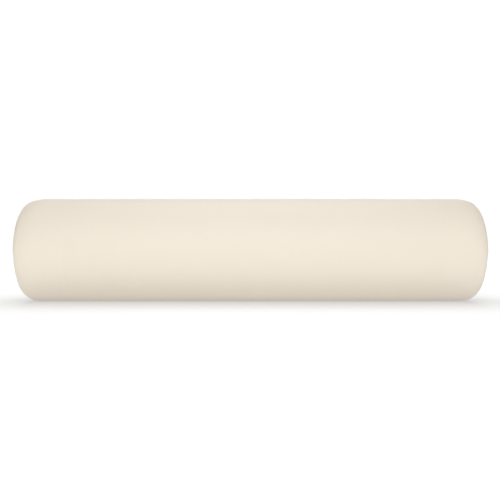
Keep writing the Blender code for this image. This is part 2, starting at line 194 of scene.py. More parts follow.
class StudioLooks(bpy.types.PropertyGroup):
    """Camera, floor and light."""

    distance: size("Camera distance", "From the bolster's axis to the camera", 0.86)
    lens: size("Lens", "Focal length in millimetres", 41.65, "NONE")
    floor_size: size("Floor size", "Side of the square floor", 24.0)
    shift: size("Shift", "How far the bolster lies right of and below the middle", 0.0008, "NONE")
    # Painted light: the floor's glow near the bolster stands in for bounce light on its underside, and
    # open_glow is darkened by a painted contact shadow out to shade_reach
    open_glow: size("Open floor glow", "The part of the glow that the bolster dims", 0.31, "NONE")
    even_glow: size("Even floor glow", "The part of the glow that stays under the bolster", 0.4, "NONE")
    far_glow: size("Far glow", "Light that the floor gives off far away", 1.2, "NONE")
    shade_reach: size("Shade reach", "How far the bolster dims the floor's glow", 0.12)
    low_power: size("Low front light", "Watts of the softbox low in front", 6.8, "NONE")
    high_power: size("High front light", "Watts of the softbox high in front", 8.4, "NONE")
    top_power: size("Overhead light", "Watts of the softbox overhead", 4.5, "NONE")
    rear_power: size("Rear light", "Watts of the softbox above the back", 4.0, "NONE")
    backdrop: size("Backdrop", "Strength of the white backdrop behind the bolster", 1.02, "NONE")
    floor: colour("Floor", "Colour of the floor", (0.35, 0.35, 0.35))


def bell(distance, reach):
    """1 at no distance, and falling smoothly to 0 past its reach."""
    return math.exp(-((distance / reach) ** 2))


def ease(value, start, end):
    """0 before start, 1 after end, and smooth between them."""
    share = min(1.0, max(0.0, (value - start) / (end - start)))
    return share * share * (3 - 2 * share)


def soft_floor(value, level, softness):
    """value, held at level where it would go below it, with a rounded turn."""
    over = value - level
    return level + (over + math.sqrt(over * over + softness * softness)) / 2


def round_axis(along, radius, angle):
    """The point at this place along the bolster, distance from its axis and angle round it."""
    return Vector((along, radius * math.cos(angle), AXIS_HEIGHT + radius * math.sin(angle)))


def place_of(point):
    """(distance from the bolster's axis, angle round it)."""
    height = point.z - AXIS_HEIGHT
    return math.hypot(point.y, height), math.atan2(height, point.y)


def surface_along(radius, inset=0.0):
    """How far along X a layer lies at this radius, this far inside the cover's outer face."""
    look = bpy.context.scene.bolster_cover
    share = min(1.0, radius / (RADIUS - inset))
    rounding = 1 - (1 - share**look.rim_sharpness) ** (1 / look.rim_ease)
    sink = look.seam_sink * bell(radius - SEAM_RADIUS, look.seam_reach)
    return HALF_LENGTH - inset - look.end_crown * share**2 - look.rim_length * rounding - sink


def spaced(points, spacing):
    """The same line with its points evenly spaced, both ends kept."""
    line = np.array(points, float)
    lengths = np.linalg.norm(np.diff(line, axis=0), axis=1)
    run = np.concatenate([[0.0], np.cumsum(lengths)])
    count = max(2, round(run[-1] / spacing) + 1)
    wanted = np.linspace(0, run[-1], count)
    placed = [np.interp(wanted, run, line[:, i]) for i in range(2)]
    return [(float(along), float(radius)) for along, radius in zip(*placed)]


def end_line(first, inset, spacing):
    """Evenly spaced (along, radius) points of a layer's +X end, from a radius out to its side."""
    outer = RADIUS - inset
    shares = np.linspace(1, 0, RIM_SAMPLES) ** 3
    radii = [outer - (outer - first) * share for share in shares]
    return spaced([(surface_along(radius, inset), radius) for radius in radii], spacing)


def quarter_turns(steps):
    """Angles from 0 to a quarter turn."""
    return [math.pi / 2 * step / steps for step in range(steps + 1)]


def between(first, last, count):
    """Evenly spaced values from first to last, without these two."""
    return [float(value) for value in np.linspace(first, last, count)[1:-1]]


def mirrored(line):
    """The same end at -X, listed so that the line still runs from +X to -X."""
    return [(-along, radius) for along, radius in reversed(line)]


def whole_line(right, places, radius):
    """A layer's whole line: its +X end, the places along its straight side, and its -X end."""
    return right + [(along, radius) for along in places] + mirrored(right)


def side_stations(half, spacing):
    """Places along the straight side between two rims, closer together at the zip's ends."""
    close = [SLOT_HALF + step for step in (0.0, 0.001, 0.002, 0.003, 0.004, 0.006)]
    outer = between(half, close[-1], max(2, round((half - close[-1]) / spacing) + 1))
    inner = between(SLOT_HALF, -SLOT_HALF, round(2 * SLOT_HALF / spacing) + 1)
    right = outer + close[::-1]
    return right + inner + [-along for along in reversed(right)]


def sweep(shape, line, start=0.0, turn=FULL_TURN, steps=96):
    """Spins a line of (along, radius) points about the bolster's axis."""
    run = shape.verts.layers.float.get("run") or shape.verts.layers.float.new("run")
    verts = [shape.verts.new(round_axis(along, radius, start)) for along, radius in line]
    gone = 0.0
    for before, vert in zip([verts[0], *verts], verts):
        gone += (vert.co - before.co).length
        vert[run] = gone
    edges = [shape.edges.new(pair) for pair in zip(verts, verts[1:])]
    bmesh.ops.spin(
        shape,
        geom=verts + edges,
        cent=AXIS,
        axis=(1, 0, 0),
        angle=turn,
        steps=steps,
        use_merge=turn == FULL_TURN,
    )


def spun(line, steps, inside=None):
    """A closed layer or solid from its line, its faces turned outwards."""
    shape = bmesh.new()
    sweep(shape, line, steps=steps)
    weld(shape, inside)
    return shape


def put_in_order(shape):
    """Sorts the points, edges and faces by their places, which are the same in every run."""

    def place(item):
        verts = [item] if isinstance(item, bmesh.types.BMVert) else item.verts
        middle = sum((vert.co for vert in verts), Vector()) / len(verts)
        return tuple(round(value, 6) for value in middle)

    for items in (shape.verts, shape.edges, shape.faces):
        ranks = {item: rank for rank, item in enumerate(sorted(items, key=place))}
        items.sort(key=ranks.get)


def weld(shape, inside=None):
    """Merges doubles and turns every face outwards, away from a point inside it."""
    bmesh.ops.remove_doubles(shape, verts=shape.verts, dist=MERGE_DISTANCE)
    bmesh.ops.recalc_face_normals(shape, faces=shape.faces)
    if inside is not None:
        outward = 0.0
        for face in shape.faces:
            outward += (face.calc_center_median() - inside).dot(face.normal) * face.calc_area()
        if outward < 0:
            bmesh.ops.reverse_faces(shape, faces=shape.faces)
    put_in_order(shape)
    shape.normal_update()


def move_out(shape, offset):
    """Moves each point along its normal by offset(point), a length."""
    shape.normal_update()
    moves = [vert.normal * offset(vert.co) for vert in shape.verts]
    for vert, move in zip(shape.verts, moves):
        vert.co += move


def press_on_floor(shape, inset):
    """Flattens a layer softly where the bolster's weight rests on it."""
    lowest = soft_floor(AXIS_HEIGHT - RADIUS, 0.0, FLOOR_SOFTNESS)
    for vert in shape.verts:
        vert.co.z = soft_floor(vert.co.z, inset, FLOOR_SOFTNESS) - lowest


def press_behind_zip(shape, level):
    """Flattens a layer softly under the zip, so that the slider has room to run."""
    for vert in shape.verts:
        near = 1 - ease(abs(vert.co.x), TAPE_HIGH.x, TAPE_HIGH.x + ZIP_PRESS_FADE)
        pressed = -soft_floor(-vert.co.y, -level, ZIP_PRESS_SOFTNESS)
        vert.co.y += near * min(0.0, pressed - vert.co.y)


def unevenness(point, scale):
    """A smooth value from 0 to 1 that varies over this distance."""
    return 0.5 + 0.5 * max(-1.0, min(1.0, noise.noise(point / scale)))


def lay_pattern(mesh):
    """A UV map in metres: along the run of the spun line, and round the bolster."""
    run = mesh.attributes["run"].data
    layer = mesh.uv_layers.new(name="pattern")
    for face in mesh.polygons:
        middle = place_of(face.center)[1]
        for corner in face.loop_indices:
            index = mesh.loops[corner].vertex_index
            radius, angle = place_of(mesh.vertices[index].co)
            turned = (angle - middle + math.pi) % FULL_TURN - math.pi + middle
            layer.data[corner].uv = (run[index].value, turned * RADIUS)


def add_piece(name, shape, slot, node, body="bolster", inner=None):
    """A piece that rides a body and stands for a CAD node. inner is the slot of its inner side."""
    mesh = bpy.data.meshes.new(name)
    shape.to_mesh(mesh)
    shape.free()
    mesh.shade_smooth()
    mesh.materials.append(finish_of(slot))
    if inner:
        mesh.materials.append(finish_of(inner))
    piece = bpy.data.objects.new(name, mesh)
    bpy.context.scene.collection.objects.link(piece)
    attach(piece, body)
    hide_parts(node)
    return piece


def subdivide(piece):
    modifier = piece.modifiers.new("Subdivision", "SUBSURF")
    modifier.levels = 1
    modifier.render_levels = 1


def thicken(piece, thickness, offset=-1, inner_finish=0):
    modifier = piece.modifiers.new("Wall", "SOLIDIFY")
    modifier.thickness = thickness
    modifier.offset = offset
    modifier.material_offset = inner_finish


def soften(piece, width, segments=2, angle=50):
    modifier = piece.modifiers.new("Edges", "BEVEL")
    modifier.width = width
    modifier.segments = segments
    modifier.limit_method = "ANGLE"
    modifier.angle_limit = math.radians(angle)


def extrude(shape, faces, way):
    """Extrudes faces this way and returns the new points."""
    grown = bmesh.ops.extrude_face_region(shape, geom=faces, use_keep_orig=True)
    moved = [item for item in grown["geom"] if isinstance(item, bmesh.types.BMVert)]
    bmesh.ops.translate(shape, vec=way, verts=moved)
    return moved


def repeated(unit, places):
    """One bmesh with a copy of the unit shape at each matrix."""
    mesh = bpy.data.meshes.new("unit")
    unit.to_mesh(mesh)
    unit.free()
    whole = bmesh.new()
    for place in places:
        first = len(whole.verts)
        whole.from_mesh(mesh)
        whole.verts.ensure_lookup_table()
        bmesh.ops.transform(whole, matrix=place, verts=whole.verts[first:])
    bpy.data.meshes.remove(mesh)
    return whole


def whole_faces(node):
    """A copy of a CAD node with its doubles merged and its flat faces made whole."""
    shape = bmesh.new()
    shape.from_mesh(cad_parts[node].data)
    bmesh.ops.remove_doubles(shape, verts=shape.verts, dist=NODE_MERGE_DISTANCE)
    bmesh.ops.dissolve_limit(
        shape,
        angle_limit=math.radians(1),
        use_dissolve_boundaries=False,
        verts=shape.verts,
        edges=shape.edges,
    )
    return shape


class Socket:
    """A shader value that takes Python's operators."""

    def __init__(self, finish, output):
        self.finish = finish
        self.output = output

    def calculate(self, operation, *values):
        return self.finish.node("ShaderNodeMath", {"operation": operation}, dict(enumerate(values)))

    def __add__(self, other):
        return self.calculate("ADD", self, other)

    def __sub__(self, other):
        return self.calculate("SUBTRACT", self, other)

    def __rsub__(self, other):
        return self.calculate("SUBTRACT", other, self)

    def __mul__(self, other):
        return self.calculate("MULTIPLY", self, other)

    def __pow__(self, other):
        return self.calculate("POWER", self, other)

    def sine(self):
        return self.calculate("SINE", self)

    def size(self):
        return self.calculate("ABSOLUTE", self)

    __radd__ = __add__
    __rmul__ = __mul__


def shade(base, share):
    """A colour made darker or lighter by a share."""
    return tuple(min(1.0, channel * share) for channel in base)


class Nodes:
    """The nodes of a material or a room, added by type."""

    def __init__(self, owner):
        owner.use_nodes = True
        self.tree = owner.node_tree

    def node(self, kind, settings=None, inputs=None, output=0):
        made = self.tree.nodes.new(kind)
        for name, value in (settings or {}).items():
            setattr(made, name, value)
        for key, value in (inputs or {}).items():
            if isinstance(value, Socket):
                self.tree.links.new(value.output, made.inputs[key])
            else:
                made.inputs[key].default_value = value
        return Socket(self, made.outputs[output])

    def split(self, vector):
        node = self.node("ShaderNodeSeparateXYZ", {}, {0: vector}).output.node
        return [Socket(self, node.outputs[i]) for i in range(3)]


class Finish(Nodes):
    """A material under way: constants sit on its shader, and patterns feed what varies."""

    def __init__(self, name, constants):
        self.material = bpy.data.materials.new(name)
        super().__init__(self.material)
        self.shader = self.tree.nodes["Principled BSDF"]
        for key, value in constants.items():
            self.shader.inputs[key].default_value = value
        self.places = self.node("ShaderNodeTexCoord", output="Object")

    def noise(self, cell, detail=2.0, vector=None):
        """Noise from 0 to 1 whose patches are about as wide as cell."""
        inputs = {"Vector": vector or self.places, "Scale": 1 / cell, "Detail": detail}
        return self.node("ShaderNodeTexNoise", {}, inputs, "Fac")

    def cells(self, cell, feature="F1"):
        """Distance from the middles, or the edges, of cells about as wide as cell."""
        inputs = {"Vector": self.places, "Scale": 1 / cell}
        return self.node("ShaderNodeTexVoronoi", {"feature": feature}, inputs, "Distance")

    def attribute(self, name):
        return self.node("ShaderNodeAttribute", {"attribute_name": name}, {}, "Fac")

    def stretched(self, scale):
        """Object coordinates, each axis multiplied by its own number."""
        return self.node("ShaderNodeVectorMath", {"operation": "MULTIPLY"}, {0: self.places, 1: scale})

    def mix(self, factor, first, second):
        """A colour between two others."""
        pair = [value if isinstance(value, Socket) else (*value, 1.0) for value in (first, second)]
        inputs = {0: factor, 6: pair[0], 7: pair[1]}
        return self.node("ShaderNodeMix", {"data_type": "RGBA"}, inputs, 2)

    def tones(self, factor, base, dark, light):
        """From a darker share of a colour to a lighter one."""
        return self.mix(factor, shade(base, dark), shade(base, light))

    def bump(self, height, distance, strength=1.0, normal=None):
        inputs = {"Height": height, "Distance": distance, "Strength": strength}
        if normal:
            inputs["Normal"] = normal
        return self.node("ShaderNodeBump", {}, inputs)

    def feed(self, **sockets):
        for key, value in sockets.items():
            self.tree.links.new(value.output, self.shader.inputs[key.replace("_", " ").title()])
        return self.material


def vinyl_finish(look):
    """Fine-grained soft vinyl: pebbles under a millimetre, a low sheen and duller, darker creases."""
    finish = Finish("cream_vinyl", {"Specular IOR Level": 0.42})
    crease = finish.attribute("crease")
    blotch = finish.noise(0.07, 3.0)
    fine = finish.noise(0.004, 4.0)
    grain = finish.cells(0.0009, "SMOOTH_F1")
    pores = finish.noise(0.00035, 2.0)
    tone = finish.tones(blotch, look.vinyl, 0.985, 1.015)
    tone = finish.mix(fine * 0.18, tone, shade(look.vinyl, 0.95))
    tone = finish.mix(crease * 0.45, tone, (0.66, 0.56, 0.43))
    roughness = 0.43 + blotch * 0.05 + fine * 0.06 + crease * 0.15
    pebbles = finish.bump(grain + pores * 0.25, 0.00018, 0.8)
    relief = finish.bump(fine, 0.00008, 0.35, pebbles)
    return finish.feed(base_color=tone, roughness=roughness, normal=relief)


def backing_finish(look):
    """The brushed knit that the vinyl is laid on."""
    finish = Finish("knit_backing", {"Roughness": 0.95, "Specular IOR Level": 0.2})
    fuzz = finish.noise(0.0007, 4.0)
    tone = finish.tones(fuzz, look.backing, 0.86, 1.08)
    return finish.feed(base_color=tone, normal=finish.bump(fuzz, 0.0003, 0.8))


def foam_finish(look):
    """Open-cell foam: small pits darkened with painted shade between bright struts, slightly yellowed
    outside.
    """
    finish = Finish("open_cell_foam", {"Roughness": 0.95, "Specular IOR Level": 0.25})
    pits = finish.cells(0.0011, "DISTANCE_TO_EDGE")
    small = finish.cells(0.0005, "F1")
    age = finish.noise(0.05, 4.0)
    tone = finish.tones(age, look.foam, 0.9, 1.08)
    # Painted shade: the pits, the middles of the cells, are darkened towards 0.55 of the foam's colour
    tone = finish.mix((pits * 2.4) ** 0.6, tone, shade(look.foam, 0.55))
    relief = finish.bump(pits * -1.0 + small * 0.3, 0.0006, 0.8)
    return finish.feed(base_color=tone, normal=relief)


def wadding_finish(look):
    """Lofty fibres that mostly run round the bolster."""
    soft = {"Roughness": 1.0, "Specular IOR Level": 0.15, "Sheen Weight": 0.3}
    finish = Finish("fibre_wadding", soft)
    long_fibres = finish.noise(1.0, 5.0, finish.stretched((1600, 260, 260)))
    cross_fibres = finish.noise(1.0, 4.0, finish.stretched((240, 1300, 900)))
    clumps = finish.noise(0.018, 3.0)
    fibres = long_fibres * 0.6 + cross_fibres * 0.4
    tone = finish.tones(fibres * clumps * 1.6, look.wadding, 0.78, 1.06)
    relief = finish.bump(fibres + clumps, 0.0012, 0.7)
    return finish.feed(base_color=tone, normal=relief)


def liner_finish(look):
    """Plain jersey: columns of small loops that lean left and right."""
    soft = {"Roughness": 0.9, "Specular IOR Level": 0.2, "Sheen Weight": 0.2}
    finish = Finish("knit_liner", soft)
    pattern = finish.node("ShaderNodeUVMap", {"uv_map": "pattern"})
    along, around, _ = finish.split(pattern)
    column_width, row_height = 0.0014, 0.0011
    column = (around * (math.pi / column_width)).sine().size()
    row = (along * (FULL_TURN / row_height) + column * 2.2).sine() * 0.5 + 0.5
    loops = column ** 0.6 * (row * 0.7 + 0.3)
    fuzz = finish.noise(0.0006, 3.0)
    tone = finish.tones(loops * 0.7 + fuzz * 0.3, look.liner, 0.66, 1.08)
    return finish.feed(base_color=tone, normal=finish.bump(loops + fuzz * 0.4, 0.00035, 0.8))


def tape_finish(look):
    """Woven twill tape with ribs along its length and a lighter selvedge."""
    finish = Finish("woven_tape", {"Specular IOR Level": 0.25})
    along, _, across = finish.split(finish.places)
    rib_width, twill_width = 0.0009, 0.0008
    ribs = (across * (FULL_TURN / rib_width)).sine() * 0.5 + 0.5
    twill = ((along + across * 1.4) * (FULL_TURN / twill_width)).sine() * 0.5 + 0.5
    weave = ribs * 0.45 + twill * 0.55
    fuzz = finish.noise(0.0005, 3.0)
    tone = finish.tones(weave * 0.75 + fuzz * 0.25, look.tape, 0.74, 1.08)
    roughness = 0.78 + fuzz * 0.16
    return finish.feed(base_color=tone, roughness=roughness, normal=finish.bump(weave, 0.00018, 0.8))


def teeth_finish(look):
    """Moulded acetal, faintly cloudy, worn smooth where the slider runs."""
    finish = Finish("moulded_acetal", {"Specular IOR Level": 0.5})
    cloud = finish.noise(0.006, 3.0)
    texture = finish.noise(0.00025, 2.0)
    tone = finish.tones(cloud, look.teeth, 0.94, 1.05)
    roughness = 0.28 + texture * 0.12 + cloud * 0.08
    return finish.feed(base_color=tone, roughness=roughness, normal=finish.bump(texture, 0.00002, 0.5))


def metal_finish(look):
    """Satin nickel plate with fine scuffs along the way that the slider runs."""
    finish = Finish("satin_nickel", {"Metallic": 1.0})
    scuffs = finish.noise(1.0, 4.0, finish.stretched((700, 6000, 6000)))
    cloud = finish.noise(0.004, 3.0)
    tone = finish.tones(cloud * 0.6 + scuffs * 0.4, look.metal, 0.9, 1.1)
    roughness = 0.2 + scuffs * 0.2 + cloud * 0.06
    return finish.feed(base_color=tone, roughness=roughness, normal=finish.bump(scuffs, 0.00001, 0.35))


def thread_finish(look):
    """Bonded polyester thread, its plies twisted about each stitch."""
    finish = Finish("bonded_thread", {"Specular IOR Level": 0.4})
    along, deep, up = finish.split(finish.places)
    ply_width = 0.0006
    plies = ((along + up + deep) * (FULL_TURN / ply_width)).sine() * 0.5 + 0.5
    fuzz = finish.noise(0.0004, 2.0)
    tone = finish.tones(plies * 0.6 + fuzz * 0.4, look.thread, 0.75, 1.12)
    roughness = 0.5 + fuzz * 0.2
    return finish.feed(base_color=tone, roughness=roughness, normal=finish.bump(plies, 0.00012, 0.7))


FINISHES = {
    "cover_vinyl": (vinyl_finish, "bolster_cover"),
    "backing": (backing_finish, "bolster_cover"),
    "core_foam": (foam_finish, "bolster_fill"),
    "fill_wadding": (wadding_finish, "bolster_fill"),
    "liner_knit": (liner_finish, "bolster_fill"),
    "zip_tape": (tape_finish, "bolster_zip"),
    "zip_teeth": (teeth_finish, "bolster_zip"),
    "zip_metal": (metal_finish, "bolster_zip"),
    "cover_thread": (thread_finish, "bolster_zip"),
}
MADE = {}


def finish_of(slot):
    """The material of a slot, made once."""
    if slot not in MADE:
        maker, group = FINISHES[slot]
        MADE[slot] = maker(getattr(bpy.context.scene, group))
    return MADE[slot]


def gathers(angle, count, phase):
    """Depth from 0 to 1 of uneven gathers round an end."""
    ring = Vector((math.cos(angle), math.sin(angle), phase))
    lean = noise.noise(ring * 3.1) * 2.6
    weight = 0.45 + 0.55 * unevenness(ring, 0.23)
    return weight * (0.5 + 0.5 * math.sin(count * angle + lean)) ** 1.6


def slot_distance(point):
    """How far a point of the back lies outside the zip's slot."""
    past_end = max(0.0, abs(point.x) - SLOT_HALF)
    past_side = max(0.0, abs(point.z - AXIS_HEIGHT) - SLOT_RISE)
    return math.hypot(past_end, past_side)


def cover_offset(point):
    """How far the sewing moves the vinyl out (+) or in (-) at a point of the cover."""
    look = bpy.context.scene.bolster_cover
    radius, angle = place_of(point)
    move = 0.0
    if abs(point.x) > HALF_LENGTH - look.rim_length:
        fade = 1 - ease(abs(radius - SEAM_RADIUS), 0.0, look.pucker_reach)
        side = math.copysign(1.0, point.x)
        move -= look.pucker_depth * fade * gathers(angle, look.pucker_count, side)
    if point.y > 0 and radius > SEAM_RADIUS:
        away = slot_distance(point)
        move += look.hem_rise * bell(away - STITCH_MARGIN / 2, HEM_REACH)
        move -= look.hem_rise * bell(away - STITCH_MARGIN, STITCH_PULL_REACH)
        closing = ease(abs(point.x), SLOT_HALF + STITCH_MARGIN, SLOT_HALF + 2 * STITCH_MARGIN)
        move -= look.groove * closing * bell(point.z - AXIS_HEIGHT, CLOSING_REACH)
    return move


def mark_creases(shape):
    """Stores from 0 to 1 how deep in a seam each point lies."""
    crease = shape.verts.layers.float.new("crease")
    for vert in shape.verts:
        radius, _ = place_of(vert.co)
        at_end = abs(vert.co.x) > HALF_LENGTH - END_DEPTH
        value = bell(radius - SEAM_RADIUS, SEAM_CREASE) if at_end else 0.0
        if vert.co.y > 0 and radius > SEAM_RADIUS:
            value = max(value, 0.5 * bell(slot_distance(vert.co) - STITCH_MARGIN, STITCH_CREASE))
            if abs(vert.co.x) > SLOT_HALF + STITCH_MARGIN:
                value = max(value, bell(vert.co.z - AXIS_HEIGHT, CLOSING_CREASE))
        vert[crease] = value


def seam_roll_line(edge, outward):
    """A panel's +X edge, rolled into the seam. outward is 1 for the body and -1 for a disc."""
    look = bpy.context.scene.bolster_cover
    roll = look.seam_roll
    start = edge + outward * roll
    top = surface_along(start)
    line = []
    for turn in reversed(quarter_turns(3)):
        line.append((top - roll + roll * math.cos(turn), start - outward * roll * math.sin(turn)))
    return line


def evened(mesh, moves, held):
    """Moves of a mesh's points, averaged over their neighbours, with the held points still."""
    moves = np.array(moves)
    ends = np.array([edge.vertices[:] for edge in mesh.edges])
    count = np.bincount(ends.ravel(), minlength=len(moves))[:, None]
    for _ in range(EVENING_ROUNDS):
        total = np.zeros_like(moves)
        np.add.at(total, ends[:, 0], moves[ends[:, 1]])
        np.add.at(total, ends[:, 1], moves[ends[:, 0]])
        moves = (moves + total / count) / 2
        moves[held] = 0
    return [Vector(move) for move in moves]


def swell(piece, held, limit):
    """Lets the skin swell under pressure by at most limit. held are the indices that stay."""
    scene = bpy.context.scene
    start = [vertex.co.copy() for vertex in piece.data.vertices]
    group = piece.vertex_groups.new(name="held")
    group.add(held, 1.0, "REPLACE")
    cloth = piece.modifiers.new("Cloth", "CLOTH")
    cloth.settings.vertex_group_mass = "held"
    for name, value in SWELL_CLOTH.items():
        setattr(cloth.settings, name, value)
    cloth.settings.effector_weights.gravity = 0
    cloth.collision_settings.use_collision = False
    cloth.point_cache.frame_end = SWELL_FRAMES
    for step in range(1, SWELL_FRAMES + 1):
        scene.frame_set(step)
    graph = bpy.context.evaluated_depsgraph_get()
    swollen = piece.evaluated_get(graph).to_mesh()
    moved = [vertex.co.copy() for vertex in swollen.vertices]
    piece.evaluated_get(graph).to_mesh_clear()
    piece.modifiers.remove(cloth)
    piece.vertex_groups.remove(group)
    scene.frame_set(1)
    moves = [after - before for before, after in zip(start, moved)]
    moves = [move * (min(limit, move.length) / max(move.length, 1e-9)) for move in moves]
    for vertex, before, move in zip(piece.data.vertices, start, evened(piece.data, moves, held)):
        vertex.co = before + move


def reshape(piece, change):
    """Runs a change on a piece's own mesh as a bmesh."""
    shape = bmesh.new()
    shape.from_mesh(piece.data)
    change(shape)
    shape.to_mesh(piece.data)
    shape.free()


class BOLSTER_OT_body_skin(bpy.types.Operator):
    """Makes the vinyl panel that is rolled into the cover's tube"""

    bl_idname = "bolster.body_skin"
    bl_label = "Body panel"
    rim_spacing = 0.0026
    side_spacing = 0.0064
    seam_hold = 0.003
    zip_hold = 0.0002

    def execute(self, context):
        look = context.scene.bolster_cover
        edge = SEAM_RADIUS + look.seam_gap / 2
        rim = end_line(edge + look.seam_roll, 0.0, self.rim_spacing)
        right = seam_roll_line(edge, 1)[:-1] + rim
        line = whole_line(right, side_stations(rim[-1][0], self.side_spacing), RADIUS)
        slot_turn = math.asin(SLOT_RISE / RADIUS)
        band_turn = math.asin(2 * SLOT_RISE / RADIUS)
        shape = bmesh.new()
        sweep(shape, line, slot_turn, band_turn - slot_turn, 6)
        sweep(shape, line, band_turn, FULL_TURN - 2 * band_turn, 66)
        sweep(shape, line, FULL_TURN - band_turn, band_turn - slot_turn, 6)
        for side in (1, -1):
            past = [point for point in line if point[0] * side > SLOT_HALF - 0.0001]
            sweep(shape, past, -slot_turn, 2 * slot_turn, 12)
        weld(shape, AXIS)
        move_out(shape, lambda point: -look.start_slack)
        piece = add_piece("body_panel_skin", shape, "cover_vinyl", "cover_body_panel", inner="backing")
        swell(piece, self.held(piece.data), look.swell_limit)
        reshape(piece, self.sew)
        subdivide(piece)
        thicken(piece, look.thickness, inner_finish=1)
        soften(piece, 0.0004)
        return {"FINISHED"}

    def held(self, mesh):
        """Points that the end seams, the zip and the floor hold."""
        found = []
        for vertex in mesh.vertices:
            radius, _ = place_of(vertex.co)
            at_seam = radius < SEAM_RADIUS + self.seam_hold
            at_zip = vertex.co.y > 0 and slot_distance(vertex.co) < STITCH_MARGIN + self.zip_hold
            at_closing = vertex.co.y > 0 and abs(vertex.co.z - AXIS_HEIGHT) < SLOT_RISE
            if at_seam or at_zip or at_closing:
                found.append(vertex.index)
        return found

    def sew(self, shape):
        mark_creases(shape)
        move_out(shape, cover_offset)
        press_on_floor(shape, 0.0)


class BOLSTER_OT_end_discs(bpy.types.Operator):
    """Makes the vinyl disc at each end"""

    bl_idname = "bolster.end_discs"
    bl_label = "End discs"
    spacing = 0.0035

    def execute(self, context):
        look = context.scene.bolster_cover
        edge = SEAM_RADIUS - look.seam_gap / 2
        last = edge - look.seam_roll
        radii = [last * i / 300 for i in range(301)]
        flat = spaced([(surface_along(radius), radius) for radius in radii], self.spacing)
        line = flat + seam_roll_line(edge, -1)[::-1][1:]
        for name, side in ENDS:
            shape = spun([(along * side, radius) for along, radius in line], 84, AXIS)
            mark_creases(shape)
            move_out(shape, cover_offset)
            piece = add_piece(
                f"{name}_end_disc", shape, "cover_vinyl", f"{name}_end_panel", inner="backing"
            )
            subdivide(piece)
            thicken(piece, look.thickness, inner_finish=1)
        return {"FINISHED"}


class BOLSTER_OT_foam_log(bpy.types.Operator):
    """Makes the foam log"""

    bl_idname = "bolster.foam_log"
    bl_label = "Foam log"
    dimple = 0.012

    def execute(self, context):
        look = context.scene.bolster_fill
        half = FOAM_HIGH.x
        radius = FOAM_HIGH.y
        corner = look.foam_ease
        right = [(half, (radius - corner) * i / 8) for i in range(9)]
        for turn in quarter_turns(4)[1:]:
            along = half - corner + corner * math.cos(turn)
            right.append((along, radius - corner + corner * math.sin(turn)))
        shape = spun(whole_line(right, between(half - corner, corner - half, 62), radius), 80, AXIS)
        move_out(shape, lambda point: -look.foam_unevenness * unevenness(point, self.dimple))
        piece = add_piece("cut_foam_log", shape, "core_foam", "foam_core")
        return {"FINISHED"}


class BOLSTER_OT_wadding(bpy.types.Operator):
    """Makes the rolled wadding and the pads at both ends"""

    bl_idname = "bolster.wadding"
    bl_label = "Wadding"
    fluff_depth = 0.004
    clump = 0.014
    foam_gap = 0.0003
    lap_start = 0.7
    pad_spacing = 0.0045

    def execute(self, context):
        self.look = context.scene.bolster_fill
        self.make_wrap()
        for name, side in ENDS:
            self.make_pad(f"{name}_wadding_pad", f"{name}_end_wadding", side)
        return {"FINISHED"}

    def fluff(self, point, outer):
        """Lofty unevenness, only on the wadding's outside."""
        radius, _ = place_of(point)
        outside = ease(radius, outer - self.fluff_depth, outer)
        return -self.look.loft * outside * unevenness(point, self.clump)

    def make_wrap(self):
        half = WADDING_HIGH.x
        outer = WADDING_HIGH.z - AXIS_HEIGHT
        inner = FOAM_HIGH.y + self.foam_gap
        middle = (inner + outer) / 2
        stations = [half, *between(half, -half, 76), -half]
        line = [(half, middle)] + [(along, outer) for along in stations]
        line += [(-half, middle)] + [(along, inner) for along in reversed(stations)]
        shape = spun(line + line[:1], 112)
        move_out(shape, lambda point: self.fluff(point, outer))
        for vert in shape.verts:
            radius, angle = place_of(vert.co)
            if radius > outer - self.fluff_depth:
                share = (angle + self.lap_start) % FULL_TURN / FULL_TURN
                vert.co = round_axis(vert.co.x, radius - self.look.lap * share, angle)
        press_on_floor(shape, RADIUS - outer)
        press_behind_zip(shape, SLIDER_LOW.y - bpy.context.scene.bolster_cover.thickness)
        piece = add_piece("rolled_wadding", shape, "fill_wadding", "wadding_wrap")

    def make_pad(self, name, node, side):
        low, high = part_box(node)
        inset = HALF_LENGTH - max(abs(low.x), abs(high.x))
        base = min(abs(low.x), abs(high.x))
        outer = RADIUS - inset
        radii = [outer * i / 400 for i in range(401)]
        dome = spaced([(self.pad_along(radius, inset), radius) for radius in radii], self.pad_spacing)
        wall = [(base + (dome[-1][0] - base) * i / 4, outer) for i in range(3, 0, -1)]
        foot = [(base, outer * i / 14) for i in range(14, -1, -1)]
        line = [(along * side, radius) for along, radius in dome + wall + foot]
        shape = spun(line, 90, Vector((side * base, 0, AXIS_HEIGHT)))
        move_out(shape, lambda point: self.fluff_pad(point, base))
        press_on_floor(shape, inset)
        piece = add_piece(name, shape, "fill_wadding", node)

    def fluff_pad(self, point, base):
        """The same unevenness on a pad, whose flat side lies at base."""
        outside = ease(abs(point.x), base, base + self.fluff_depth)
        return -self.look.loft * outside * unevenness(point, self.clump)

    def pad_along(self, radius, inset):
        """The pad's dome, hollowed where the liner's gathers lie on it."""
        return surface_along(radius, inset) - self.look.gather_depth * (1 - ease(radius, 0.03, 0.06))


